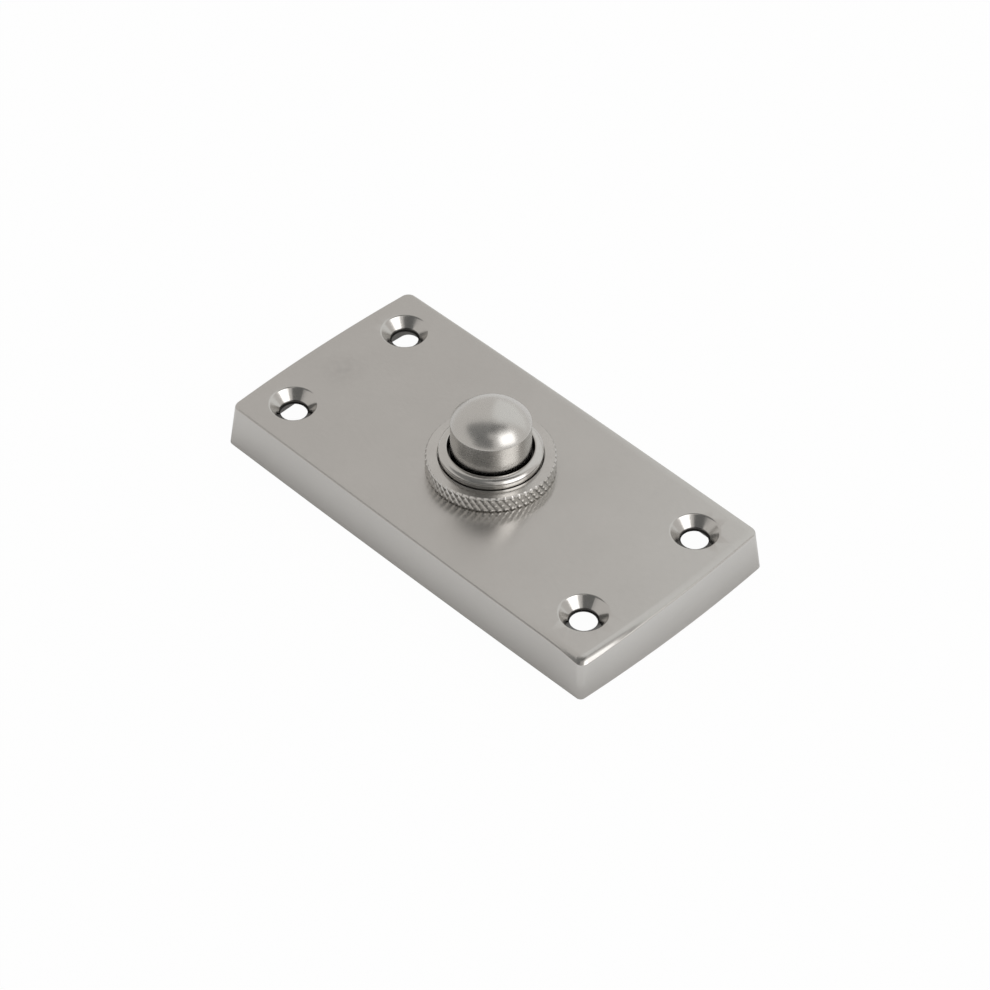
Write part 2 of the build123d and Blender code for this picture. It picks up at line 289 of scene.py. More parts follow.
# %% [markdown]
# ## Finishes
# A metal has hardly any colour of its own. Its look is the room in its surface, so the small changes matter:
# roughness that drifts a little, marks from the brush or the lathe, and a stain where a finger has been.
# Every finish below starts from the same recipe and says only what differs.

# %% Finish recipe
class Finish(Nodes):
    """A Principled material with cloudy colour and roughness, and fine marks in its surface."""

    def __init__(self, name, color, roughness, metallic=1.0):
        self.material = bpy.data.materials.new(name)
        self.material.use_nodes = True
        super().__init__(self.material.node_tree)
        self.shader = self.nodes["Principled BSDF"]
        self.shader.inputs["Metallic"].default_value = metallic
        self.shader.inputs["Roughness"].default_value = roughness
        self.place = self.node("ShaderNodeTexCoord").outputs["Object"]
        self.color = color

    def noise(self, size_mm, place=None, detail=3.0):
        """Noise from 0 to 1 whose clouds are about size_mm wide."""
        inputs = {"Vector": place or self.place, "Scale": 1 / (size_mm * MM), "Detail": detail}
        return self.node("ShaderNodeTexNoise", inputs).outputs["Fac"]

    def spread(self, value, low, high):
        """Map the middle of a noise, 0.3 to 0.7, to low and high."""
        return self.ramp(value, 0.3, 0.7, low, high)

    def stretched(self, x, y, z):
        """Object coordinates squeezed by a factor along each axis, for marks that run one way."""
        squeezed = self.node("ShaderNodeVectorMath", {0: self.place, 1: (x, y, z)}, operation="MULTIPLY")
        return squeezed.outputs[0]

    def around(self, squeeze):
        """Coordinates of radius, angle and height, for marks that run round the axis."""
        parts = self.node("ShaderNodeSeparateXYZ", {0: self.place}).outputs
        radius = self.length(parts[0], parts[1])
        angle = self.math("ARCTAN2", parts[1], parts[0])
        wrapped = self.math("MULTIPLY", self.math("ABSOLUTE", angle), squeeze)
        return self.node("ShaderNodeCombineXYZ", {0: radius, 1: wrapped, 2: parts[2]}).outputs[0]

    def tint(self, shade):
        """Colour of the finish times a shade that varies over the surface."""
        mixed = self.node("ShaderNodeVectorMath", {0: self.color, 3: shade}, operation="SCALE")
        self.links.new(mixed.outputs[0], self.shader.inputs["Base Color"])

    def rough(self, value):
        """Roughness that varies over the surface."""
        self.links.new(value, self.shader.inputs["Roughness"])

    def fade(self, value, none_mm, all_mm):
        """0 at none_mm and 1 at all_mm, for a distance in metres."""
        return self.ramp(value, none_mm * MM, all_mm * MM, 0.0, 1.0)

    def pull(self, axis):
        """Direction of the anisotropy, round one axis."""
        tangent = self.node("ShaderNodeTangent", direction_type="RADIAL", axis=axis)
        self.links.new(tangent.outputs[0], self.shader.inputs["Tangent"])

    def marks(self, height, depth_mm):
        """Bump whose full height is depth_mm."""
        bump = self.node("ShaderNodeBump", {"Height": height, "Distance": depth_mm * MM, "Strength": 1.0})
        self.links.new(bump.outputs[0], self.shader.inputs["Normal"])


def linear(red, green, blue):
    """Linear colour from the 0 to 255 values of a picture."""
    return tuple((value / 255) ** 2.2 for value in (red, green, blue))


# %% Satin nickel of the plate
nickel = linear(197, 195, 192)
brushed_mm = 0.16
sunk_gloss = -0.06
# Painted shade that darkens the bore of each hole and the foot of its countersink
foot_painted_shade = -0.85
stain_place = (-32.2, -0.9)
stain_reach = (4.0, 5.0)
stain_dark = -0.10
stain_dull = 0.05


def make_plate_finish():
    finish = Finish("satin_nickel_plate", nickel, 0.2)
    clouds = finish.noise(9.0)
    grain = finish.noise(brushed_mm, finish.stretched(0.12, 1.0, 1.0))
    parts = finish.node("ShaderNodeSeparateXYZ", {0: finish.place}).outputs
    # Distance from the nearest hole: the cutter left the countersinks glossier, and the bore with the foot of
    # each countersink gets painted shade
    hole = finish.length(*[finish.math("SUBTRACT", finish.math("ABSOLUTE", part), place * MM)
                           for part, place in zip(parts, (hole_x, hole_y))])
    sunk = finish.fade(hole, sink_radius + 0.1, sink_radius - 0.1)
    # Painted shade: colour darkened in the hole's bore and at the foot of its countersink
    painted_shade = finish.fade(hole, hole_radius + 0.26, hole_radius + 0.14)
    # A faint thumbed patch towards the left end of the face
    far = finish.length(*[finish.math("MULTIPLY_ADD", part, 1 / (reach * MM), -place / reach)
                          for part, place, reach in zip(parts, stain_place, stain_reach)])
    blot = finish.math("MAXIMUM", finish.math("SUBTRACT", 1.0, far), 0.0)
    stain = finish.math("MULTIPLY", blot, finish.spread(finish.noise(1.3, detail=5.0), 0.2, 1.0))
    shade = finish.math("ADD", finish.spread(clouds, 0.985, 1.015), finish.spread(grain, -0.02, 0.02))
    shade = finish.math("MULTIPLY_ADD", stain, stain_dark, shade)
    finish.tint(finish.math("MULTIPLY_ADD", painted_shade, foot_painted_shade, shade))
    rough = finish.math("MULTIPLY_ADD", stain, stain_dull, finish.spread(clouds, 0.19, 0.21))
    finish.rough(finish.math("MULTIPLY_ADD", sunk, sunk_gloss, rough))
    finish.marks(grain, 0.0006)
    # Brushed along its length, so a reflection smears across it
    finish.shader.inputs["Anisotropic"].default_value = 0.85
    finish.pull("X")
    return finish.material


plate_finish = make_plate_finish()


# %% [markdown]
# ## Turned nickel
# A lathe leaves rings that run round the axis. Noise in radius and height, and hardly any in angle, draws
# those rings, and the anisotropy with a radial tangent pulls the reflections across them.

# %% Satin nickel of the turned pieces
turned_nickel = linear(202, 200, 197)
# Painted shade that darkens the turned pieces inside the gap round the button
gap_painted_shade = -0.92


def make_turned_finish(name, roughness, pull, ring_depth):
    finish = Finish(name, turned_nickel, roughness)
    rings = finish.noise(0.12, finish.around(0.0015), detail=2.0)
    clouds = finish.noise(4.0)
    shade = finish.math("ADD", finish.spread(clouds, 0.98, 1.02), finish.spread(rings, -0.03, 0.03))
    # Painted shade in the gap between the button and the barrel: the bore and the skirt are darkened below
    # the lip
    parts = finish.node("ShaderNodeSeparateXYZ", {0: finish.around(1.0)}).outputs
    gap = opening_radius + 0.06
    inside = finish.fade(parts[0], gap + 0.05, gap)
    deep = finish.fade(parts[2], lip_top - 0.1, lip_top - 0.5)
    painted_shade = finish.math("MULTIPLY_ADD", finish.math("MULTIPLY", inside, deep), gap_painted_shade, 1.0)
    finish.tint(finish.math("MULTIPLY", shade, painted_shade))
    finish.rough(finish.math("ADD", finish.spread(clouds, roughness - 0.02, roughness + 0.02),
                             finish.spread(rings, -0.02, 0.02)))
    finish.marks(rings, ring_depth)
    finish.shader.inputs["Anisotropic"].default_value = pull
    finish.shader.inputs["Anisotropic Rotation"].default_value = 0.25
    finish.pull("Z")
    return finish.material


turned_finish = make_turned_finish("satin_nickel_turned", roughness=0.2, pull=0.15, ring_depth=0.0007)
button_finish = make_turned_finish("satin_nickel_button", roughness=0.27, pull=0.0, ring_depth=0.0005)


# %% [markdown]
# ## Finishes of the works behind the plate
# Brass that has dulled a little, bright contact metal, white nylon, drawn spring wire, red-brown fibre and a
# black moulding. Each has its own colour, its own grain and its own way of catching light.

# %% Finishes of the works
def make_brass(name, color, roughness):
    finish = Finish(name, color, roughness)
    drawn = finish.noise(0.25, finish.stretched(0.12, 1.0, 1.0))
    dull = finish.noise(2.5, detail=5.0)
    finish.tint(finish.math("ADD", finish.spread(dull, 0.88, 1.06), finish.spread(drawn, -0.03, 0.03)))
    finish.rough(finish.spread(dull, roughness + 0.1, roughness - 0.06))
    finish.marks(drawn, 0.002)
    return finish.material


def make_plastic(name, color, roughness, grain_mm, grain_depth):
    finish = Finish(name, color, roughness, metallic=0.0)
    grain = finish.noise(grain_mm, detail=4.0)
    clouds = finish.noise(5.0)
    finish.tint(finish.math("ADD", finish.spread(clouds, 0.9, 1.1), finish.spread(grain, -0.05, 0.05)))
    finish.rough(finish.spread(clouds, roughness - 0.05, roughness + 0.05))
    finish.marks(grain, grain_depth)
    return finish.material


def make_wire(name, color, roughness):
    finish = Finish(name, color, roughness)
    drawn = finish.noise(0.12, finish.around(0.0008), detail=3.0)
    finish.tint(finish.spread(drawn, 0.92, 1.05))
    finish.rough(finish.spread(drawn, roughness + 0.06, roughness - 0.04))
    finish.marks(drawn, 0.001)
    return finish.material


# Each has a colour and a roughness, and a plastic also the width and the depth of its grain in millimetres
finishes = {
    "satin_nickel_plate": plate_finish,
    "satin_nickel_turned": turned_finish,
    "satin_nickel_button": button_finish,
    "bare_brass": make_brass("bare_brass", linear(196, 163, 98), 0.3),
    "contact_metal": make_brass("contact_metal", linear(222, 205, 180), 0.22),
    "white_nylon": make_plastic("white_nylon", linear(226, 222, 208), 0.45, 0.3, 0.004),
    "spring_steel": make_wire("spring_steel", linear(176, 176, 174), 0.28),
    "fibre": make_plastic("fibre", linear(128, 66, 48), 0.75, 0.2, 0.02),
    "dark_moulding": make_plastic("dark_moulding", linear(40, 38, 36), 0.42, 0.15, 0.006),
    "plated_screws": make_wire("plated_screws", linear(200, 199, 196), 0.24),
}
node_slot = {row["node"]: row["material_slot"] for row in frame["record"]["subparts"]}
print("finishes:", ", ".join(finishes))


def dress(piece, slot_name, body):
    """Give a new piece its finish and its body."""
    piece.data.materials.clear()
    piece.data.materials.append(finishes[slot_name])
    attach(piece, body)


# %% [markdown]
# ## The cast plate
# A casting like this is ground and polished on a soft wheel, which rounds its edges unevenly: the flat face
# first sags a little towards the edge, then turns over it in a tighter curve. The sides lean in towards the
# face and swell outwards a little. One outline, shrunk and lifted step by step, draws it all.

# %% Plate outline
end_bow = 0.7
side_bow = 0.22
corner_points = 14
long_points = 24
short_points = 12


def plate_loop(inset, height, corner):
    """Points of the plate's outline, moved in by inset, at one height."""
    reach_x = half_length - inset - corner
    reach_y = half_width - inset - corner
    centres = [(reach_x, reach_y), (-reach_x, reach_y), (-reach_x, -reach_y), (reach_x, -reach_y)]
    flat = []
    for index, (x, y) in enumerate(centres):
        for step in range(corner_points + 1):
            turn = math.radians(90 * (index + step / corner_points))
            flat.append((x + corner * math.cos(turn), y + corner * math.sin(turn)))
        next_x, next_y = centres[(index + 1) % 4]
        turn = math.radians(90 * (index + 1))
        begin = Vector(flat[-1])
        end = Vector((next_x + corner * math.cos(turn), next_y + corner * math.sin(turn)))
        count = long_points if index % 2 == 0 else short_points
        for step in range(1, count):
            flat.append(tuple(begin.lerp(end, step / count)))
    loop = []
    for x, y in flat:
        swell_x = 1 - end_bow / half_length * (y / half_width) ** 2
        swell_y = 1 - side_bow / half_width * (x / half_length) ** 2
        loop.append((x * swell_x * MM, y * swell_y * MM, height * MM))
    return loop


# %% [markdown]
# The edge profile comes next: a gentle sag over the last millimetre of the face, then the turn of the edge.
# At one front corner the wheel took more, and left a slope that catches the light. Each edge is a rounding, a
# width of the sag and its slope. The walls of the hollow behind lean, so that the casting left its mould.

# %% Plate edge profile
rim_corner = 0.8
face_corner = 1.4
crisp_edge = (0.5, 1.0, math.radians(4))
worn_edge = (0.28, 1.5, math.radians(48))
wear_reach = (4.5, 12.0)
upright = 0.62
upright_reach = (40.0, 40.0)
edge_steps = 10
sag_steps = 6
rim_wall = 1.6
rim_ease = 0.18
rim_ease_middle = 0.05
draft_angle = math.radians(4.8)
draft = math.tan(draft_angle)
root_round = 0.8
root_steps = 6


def corner_at(inset, height):
    """Radius of the outline's corners, from tight at the rim to softer at the face."""
    whole = rim_corner + (face_corner - rim_corner) * height / plate_top
    return max(whole - 0.5 * (inset - draft * height), 0.3)


def edge_profile(radius, sag_width, sag_angle):
    """(inset, height) points from the rim at the back, up the side and over the edge to the flat face."""
    sag = sag_width * math.tan(sag_angle) / 2
    centre_height = plate_top - sag - radius * math.cos(sag_angle)
    side_top = centre_height + radius * math.sin(draft_angle)
    centre_inset = draft * side_top + radius * math.cos(draft_angle)
    points = [(rim_ease, 0.0), (rim_ease_middle, rim_ease_middle), (draft * rim_ease, rim_ease),
              (draft * side_top / 2, side_top / 2)]
    for step in range(edge_steps + 1):
        turn = draft_angle + (math.pi / 2 - sag_angle - draft_angle) * step / edge_steps
        points.append((centre_inset - radius * math.cos(turn), centre_height + radius * math.sin(turn)))
    start, low = points[-1]
    for step in range(1, sag_steps + 1):
        share = step / sag_steps
        drop = sag * (1 - share) ** 2
        points.append((start + sag_width * share, plate_top - drop))
    return points


def near_corner(point, reach):
    """1 at the worn front corner of the plate, fading to 0 over a reach along X and along Y."""
    along = (half_length - point[0] / MM) / reach[0]
    across = (half_width + point[1] / MM) / reach[1]
    return math.exp(-along ** 2 - across ** 2)


def hollow_profile():
    """(inset, height) points from the rim down the inner wall to the root of the hollow."""
    points = [(rim_wall - rim_ease, 0.0), (rim_wall - rim_ease_middle, rim_ease_middle), (rim_wall, rim_ease)]
    points.append((rim_wall + draft * (web_back - root_round), web_back - root_round))
    wall = points[-1][0]
    for step in range(1, root_steps + 1):
        turn = math.pi / 2 * step / root_steps
        points.append((wall + root_round * (1 - math.cos(turn)),
                       web_back - root_round * (1 - math.sin(turn))))
    return points


# %% [markdown]
# The four countersinks are turned by a cutter, so they are rings of points stitched into the flat of the
# face. The flat itself is filled by triangles between all those rings.

# %% Build the plate
sink_round = 0.14
sink_steps = 8
boss_outside = hole_radius + 2.4
boss_back = web_back - 0.8
rib_half = 0.8
rib_depth = 1.2
rib_ease = 0.25
post_x = 20.0
post_radius = 3.15
post_bore = 1.28


def add_loop(builder, points):
    verts = [builder.verts.new(point) for point in points]
    edges = [builder.edges.new((verts[i - 1], verts[i])) for i in range(len(verts))]
    return verts, edges


def stitch(builder, first, second):
    count = len(first)
    for index in range(count):
        builder.faces.new((first[index - 1], first[index], second[index], second[index - 1]))


def add_stack(builder, loops):
    """Stitch a stack of loops and return the edges of its first and its last one."""
    made = [add_loop(builder, loop) for loop in loops]
    for (verts, _), (following, _) in zip(made, made[1:]):
        stitch(builder, verts, following)
    return made[0][1], made[-1][1]


def sink_rings(x, y):
    """Rings down a countersunk hole, from the face to the hollow."""
    sink_depth = sink_radius - hole_radius
    sink_floor = plate_top - sink_depth
    profile = [(sink_radius + sink_round, plate_top),
               (sink_radius + 0.35 * sink_round, plate_top - 0.1 * sink_round),
               (sink_radius - 0.3 * sink_round, plate_top - 0.45 * sink_round),
               (sink_radius - sink_round, plate_top - sink_round)]
    for step in range(1, sink_steps):
        share = step / sink_steps
        profile.append((sink_radius - sink_depth * share, plate_top - sink_depth * share))
    profile += [(hole_radius + 0.06, sink_floor + 0.06), (hole_radius, sink_floor - 0.06),
                (hole_radius, boss_back + 0.08), (hole_radius + 0.08, boss_back),
                (boss_outside - 0.15, boss_back), (boss_outside, boss_back + 0.15),
                (boss_outside, web_back - 0.2), (boss_outside + 0.06, web_back - 0.06),
                (boss_outside + 0.2, web_back)]
    return [circle(radius, height, x, y) for radius, height in profile]


def add_rib(builder, start, end):
    """Rib on the back of the web, with eased lower edges, from start to end along X."""
    low = web_back - rib_depth
    half = [(rib_half - rib_ease, low), (rib_half, low + rib_ease), (rib_half, web_back + 0.2)]
    section = [(-y, z) for y, z in half[::-1]] + half
    ends = [[builder.verts.new((x * MM, y * MM, z * MM)) for y, z in section] for x in (start, end)]
    stitch(builder, ends[0], ends[1])
    builder.faces.new(ends[0])
    builder.faces.new(ends[1][::-1])


def make_plate():
    builder = bmesh.new()
    edge = []
    for crisp, worn in zip(edge_profile(*crisp_edge), edge_profile(*worn_edge)):
        loops = [plate_loop(inset, height, corner_at(inset, height)) for inset, height in (crisp, worn)]
        # The sides near the worn corner also stand more upright, so their tops are pushed out
        push = Vector((upright, -upright, 0.0)) * crisp[1] / plate_top * MM
        edge.append([tuple(Vector(a).lerp(Vector(b), near_corner(a, wear_reach))
                           + push * near_corner(a, upright_reach)) for a, b in zip(*loops)])
    hollow = [plate_loop(inset, height, 1.6) for inset, height in hollow_profile()]
    front_edges = add_stack(builder, hollow[::-1] + edge)
    back_fill, front_fill = list(front_edges[0]), list(front_edges[1])
    for x in (-hole_x, hole_x):
        for y in (-hole_y, hole_y):
            top, bottom = add_stack(builder, sink_rings(x, y))
            front_fill += top
            back_fill += bottom
    bore = barrel_radius + 0.1
    seat_radius = washer_high[0] + 1.4
    top, bottom = add_stack(builder, [circle(bore, plate_top), circle(bore, seat_level),
                                      circle(seat_radius - 0.15, seat_level),
                                      circle(seat_radius, seat_level + 0.12), circle(seat_radius, web_back)])
    front_fill += top
    back_fill += bottom
    for x in (-post_x, post_x):
        top, bottom = add_stack(builder, [
            circle(post_radius + 0.5, web_back, x), circle(post_radius + 0.15, web_back - 0.15, x),
            circle(post_radius, web_back - 0.5, x), circle(post_radius, post_low + 0.15, x),
            circle(post_radius - 0.15, post_low, x), circle(post_bore + 0.1, post_low, x),
            circle(post_bore, post_low + 0.1, x), circle(post_bore, post_low + 2.5, x)])
        back_fill += top
        builder.faces.new([side.verts[0] for side in bottom])
    bmesh.ops.triangle_fill(builder, use_beauty=True, edges=front_fill)
    bmesh.ops.triangle_fill(builder, use_beauty=True, edges=back_fill)
    for side in (-1, 1):
        add_rib(builder, side * (seat_radius - 0.3), side * (post_x - post_radius + 0.3))
    return finished_mesh("plate_casting", builder)


plate = make_plate()
dress(plate, "satin_nickel_plate", "plate_assembly")
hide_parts("face_plate")
print("plate casting:", len(plate.data.polygons), "faces")


# %% [markdown]
# ## The barrel
# The barrel is turned from bar. Its lip shows as a bright ring round the button that falls away to its
# outside, and a fine groove is cut just below that. Behind the plate the barrel ends in a flange that the
# knurled ring pulls against the washer, and a thin floor inside carries the spring.

# %% Barrel
flange_radius = barrel_high[0]
floor_front = spring_low[2]
floor_back = floor_front - 0.9
disc_room = 6.9
stem_hole = 1.58
groove_depth = 0.2
groove_width = 0.26
lip_drop = 0.58
lip_flat = 0.12
lip_power = 2.2
lip_steps = 12
turned_steps = 192


def make_barrel():
    flange_front = washer_low[2]
    groove_top = lip_top - lip_drop
    groove_foot = groove_top - groove_width
    points = [(disc_room, barrel_low[2], 0.08), (flange_radius, barrel_low[2], 0.1),
              (flange_radius, flange_front, 0.1), (barrel_radius, flange_front, 0.05),
              (barrel_radius, groove_foot, 0.05), (barrel_radius - groove_depth, groove_foot + 0.04, 0.03),
              (barrel_radius - groove_depth, groove_top - 0.02, 0.02)]
    # The lip falls away towards its outside in a flat curve, steeper and steeper
    fall = barrel_radius - opening_radius - lip_flat
    for step in range(lip_steps, -1, -1):
        share = step / lip_steps
        points.append((opening_radius + lip_flat + fall * share,
                       lip_top - (lip_drop - 0.02) * share ** lip_power, 0.0))
    points += [(opening_radius, lip_top - 0.02, 0.06), (opening_radius, floor_front, 0.2),
               (stem_hole, floor_front, 0.06), (stem_hole, floor_back, 0.06), (disc_room, floor_back, 0.1)]
    builder = bmesh.new()
    add_turned(builder, eased(points), turned_steps)
    return finished_mesh("barrel_sleeve", builder)


barrel = make_barrel()
dress(barrel, "satin_nickel_turned", "plate_assembly")
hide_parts("barrel")
print("barrel:", len(barrel.data.polygons), "faces")


# %% [markdown]
# ## The knurled ring
# A knurling wheel presses two families of slanted grooves into the ring, which leave rows of small pyramids.
# Height above the groove is a rule: the distance to the nearest line of each family, and the lower of the two
# wins. The blank has a point at every crossing of the pattern, so the pyramids come out crisp with few faces.

# %% Knurl node tree
knurl_count = 56
knurl_depth = 0.22
knurl_land = 0.58
knurl_second = 0.5
knurl_angle = math.radians(33)
knurl_steps = 8
on_band = 0.9999


def make_knurl_tree():
    tree = Tree("Knurl")
    radius, middle, count, slope, depth, flat, second, low, high = tree.sizes(
        "Radius", "Middle", "Count", "Slope", "Depth", "Flat", "Second", "Low", "High")
    place = tree.node("GeometryNodeInputPosition").outputs[0]
    parts = tree.node("ShaderNodeSeparateXYZ", {0: place}).outputs
    angle = tree.math("ARCTAN2", parts[1], parts[0])
    around = tree.math("MULTIPLY", tree.math("DIVIDE", angle, 2 * math.pi), count)
    pitch = tree.math("DIVIDE", tree.math("MULTIPLY", radius, 2 * math.pi), count)
    rise = tree.math("DIVIDE", tree.math("MULTIPLY", tree.math("SUBTRACT", parts[2], middle), slope), pitch)
    cuts = []
    for operation, share in (("ADD", 1.0), ("SUBTRACT", second)):
        line = tree.math(operation, around, rise)
        crest = tree.math("MINIMUM", tree.math("MULTIPLY", tree.math("PINGPONG", line, 0.5), 2.0), flat)
        groove = tree.math("MULTIPLY", tree.math("SUBTRACT", flat, crest), tree.math("DIVIDE", depth, flat))
        cuts.append(tree.math("MULTIPLY", groove, share))
    cut = tree.math("MAXIMUM", cuts[0], cuts[1])
    reach = tree.length(parts[0], parts[1])
    # Only the band of the blank moves, between its foot and its chamfer
    chosen = True
    for value, least in ((reach, tree.math("MULTIPLY", radius, on_band)), (parts[2], low), (high, parts[2])):
        enough = tree.node("FunctionNodeCompare", {0: value, 1: least}, operation="GREATER_EQUAL").outputs[0]
        chosen = tree.node("FunctionNodeBooleanMath", {0: chosen, 1: enough}, operation="AND").outputs[0]
    inward = [tree.math("MULTIPLY", tree.math(part, angle), -1.0) for part in ("COSINE", "SINE")]
    inward = tree.node("ShaderNodeCombineXYZ", {0: inward[0], 1: inward[1], 2: 0.0}).outputs[0]
    offset = tree.node("ShaderNodeVectorMath", {0: inward, 3: cut}, operation="SCALE").outputs[0]
    moved = tree.node("GeometryNodeSetPosition", {"Geometry": tree.start.outputs[0], "Selection": chosen,
                                                  "Offset": offset})
    tree.finish(moved.outputs[0], turned_finish)
    return tree


# %% Knurled ring
ring_chamfer = 0.25
ring_foot = 0.22
mouth_radius = barrel_radius + 0.15
mouth_ease = 0.1
mouth_depth = 0.7


def make_ring():
    bottom = ring_low[2]
    bore = barrel_radius + 0.1
    pitch = 2 * math.pi * ring_radius / knurl_count
    row = pitch / math.tan(knurl_angle) / knurl_steps
    middle = (bottom + ring_top) / 2
    band_low = bottom + ring_foot
    band_high = ring_top - ring_chamfer
    first = math.ceil((band_low + 0.2 * row - middle) / row)
    last = math.floor((band_high - 0.2 * row - middle) / row)
    rows = [middle + index * row for index in range(first, last + 1)]
    outline = [(ring_radius - 0.6, bottom), (ring_radius - knurl_depth - ring_foot, bottom)]
    outline += [(ring_radius, height) for height in (band_low, *rows, band_high)]
    outline += [(ring_radius - ring_chamfer - 0.02, ring_top), (mouth_radius + mouth_ease, ring_top),
                (mouth_radius, ring_top - mouth_ease), (mouth_radius, ring_top - mouth_depth),
                (bore, ring_top - mouth_depth), (bore, bottom)]
    builder = bmesh.new()
    add_turned(builder, outline, knurl_count * knurl_steps)
    band = [face for face in builder.faces
            if all(vert.co.xy.length > on_band * ring_radius * MM for vert in face.verts)]
    bmesh.ops.poke(builder, faces=band)
    for vert in builder.verts:
        near = vert.co.xy.length
        if band_low * MM < vert.co.z < band_high * MM and 0.99 * ring_radius * MM < near < ring_radius * MM:
            vert.co.xy *= ring_radius * MM / near
    collar = finished_mesh("knurled_collar", builder)
    collar.modifiers.clear()
    make_knurl_tree().use(
        collar, radius=ring_radius * MM, middle=middle * MM, count=float(knurl_count),
        slope=math.tan(knurl_angle), depth=knurl_depth * MM, flat=knurl_land, second=knurl_second,
        low=(band_low - 0.01) * MM, high=(band_high + 0.01) * MM)
    collar.data.set_sharp_from_angle(angle=math.radians(28))
    weight_normals(collar)
    return collar


ring = make_ring()
dress(ring, "satin_nickel_turned", "plate_assembly")
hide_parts("knurled_ring")
print("knurled ring:", len(ring.data.polygons), "faces")


# %% [markdown]
# ## The button
# A domed cap, turned and brushed while it spins. The dome is part of a sphere, and it meets the straight side
# in a crease that is hardly rounded: the brush leaves it as one thin light line. The skirt has a slightly
# wider collar that runs in the barrel, and the boss inside holds the stem.

# %% Button
crease_round = 0.22
crown_inside = spring_high[2]
collar_radius = cap_high[0]
collar_height = 1.0
cap_wall = 1.3
boss_radius = 2.5
boss_bottom = crown_inside - 6.5
stem_bore = 1.53
stem_bore_top = boss_bottom + 4.6
dome_steps = 26


def make_button():
    rise = dome_top - dome_edge
    sphere = (button_radius ** 2 + rise ** 2) / (2 * rise)
    centre = dome_top - sphere
    edge_angle = math.asin(button_radius / sphere)
    bottom = cap_low[2]
    inside = button_radius - cap_wall
    points = [(button_radius, dome_edge - 0.6, 0.0), (button_radius, dome_edge, crease_round)]
    first = edge_angle * (1 - 1.5 / dome_steps)
    points.append((sphere * math.sin(first), centre + sphere * math.cos(first), 0.0))
    crease = eased([(0.0, dome_edge - 0.6, 0.0)] + points, 5)[1:]
    dome = [(sphere * math.sin(edge_angle * share), centre + sphere * math.cos(edge_angle * share))
            for share in (1 - (step + 2) / dome_steps for step in range(dome_steps - 1))]
    under = eased([(0.0, stem_bore_top, 0.0), (stem_bore, stem_bore_top, 0.0),
                   (stem_bore, boss_bottom, 0.1), (boss_radius, boss_bottom, 0.2),
                   (boss_radius, crown_inside, 0.4), (inside, crown_inside, 0.5), (inside, bottom, 0.1),
                   (collar_radius, bottom, 0.1), (collar_radius, bottom + collar_height, 0.1),
                   (button_radius, bottom + collar_height, 0.05)])
    sides = [(button_radius, dome_edge - 4.5), (button_radius, dome_edge - 2.0)]
    builder = bmesh.new()
    add_turned(builder, under + sides + crease + dome, turned_steps)
    return finished_mesh("button_dome", builder, sharp_angle=40)


button = make_button()
dress(button, "satin_nickel_button", "push_button")
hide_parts("button_cap")
print("button:", len(button.data.polygons), "faces")


# %% [markdown]
# ## The return spring
# A compression spring is wire wound on a mandrel. Its last turn at each end is closed up and ground flat, so
# that it stands square. The height along the wire is eased at both ends to close those turns, and a circle is
# swept along the line. The spring stays with the plate, not with the button, when the button goes in.

# %% Coil node tree
coil_points = 420
wire_sides = 14


def make_coil_tree():
    tree = Tree("Coil")
    thick, radius, turns, low, length, closed = tree.sizes(
        "Wire", "Radius", "Turns", "Low", "Length", "Closed")
    line = tree.node("GeometryNodeMeshLine", {"Count": coil_points}, mode="OFFSET")
    share = tree.math("DIVIDE", tree.node("GeometryNodeInputIndex").outputs[0], coil_points - 1.0)
    turn = tree.times(share, turns, 2 * math.pi)
    last = tree.math("SUBTRACT", 1.0, closed)
    pitch = tree.node("ShaderNodeMapRange", {0: share, 1: closed, 2: last, 3: 0.0, 4: 1.0},
                      interpolation_type="SMOOTHSTEP").outputs[0]
    # The closed turns still climb by one wire each, so that they lie on each other
    lay = tree.times(tree.math("MINIMUM", share, closed), turns, thick)
    over = tree.math("MAXIMUM", tree.math("SUBTRACT", share, last), 0.0)
    lay_end = tree.times(over, turns, thick)
    dead = tree.times(closed, turns, thick, 2.0)
    climb = tree.times(pitch, tree.math("SUBTRACT", tree.math("SUBTRACT", length, thick), dead))
    half = tree.math("MULTIPLY", thick, 0.5)
    height = tree.math("ADD", tree.math("ADD", climb, tree.math("ADD", lay, lay_end)),
                       tree.math("ADD", low, half))
    place = tree.node("ShaderNodeCombineXYZ", {0: tree.times(tree.math("COSINE", turn), radius),
                                               1: tree.times(tree.math("SINE", turn), radius), 2: height})
    wound = tree.node("GeometryNodeSetPosition", {"Geometry": line.outputs[0], "Position": place.outputs[0]})
    path = tree.node("GeometryNodeMeshToCurve", {"Mesh": wound.outputs[0]})
    section = tree.node("GeometryNodeCurvePrimitiveCircle", {"Resolution": wire_sides, "Radius": half})
    swept = tree.node("GeometryNodeCurveToMesh", {"Curve": path.outputs[0], "Fill Caps": True,
                                                  "Profile Curve": section.outputs[0]})
    smooth = tree.node("GeometryNodeSetShadeSmooth", {"Geometry": swept.outputs[0]})
    tree.finish(smooth.outputs[0], finishes["spring_steel"])
    return tree


# %% Spring
wire = 0.5
spring_turns = 6.0
closed_share = 0.17


def make_spring():
    coil = add_object("coil_spring", bpy.data.meshes.new("coil_spring"))
    return make_coil_tree().use(
        coil, wire=wire * MM, radius=(spring_high[0] - wire / 2) * MM, turns=spring_turns,
        low=spring_low[2] * MM, length=(spring_high[2] - spring_low[2]) * MM, closed=closed_share)


spring = make_spring()
dress(spring, "spring_steel", "plate_assembly")
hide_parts("return_spring")
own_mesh(spring)
print("spring:", len(spring.data.polygons), "faces")


# %% [markdown]
# ## The works behind the plate
# The CAD shapes of the small pieces are right, but their edges are knife-sharp. A copy of each is merged into
# one skin, its flat triangles are joined, and a narrow bevel gives every edge its line of light.

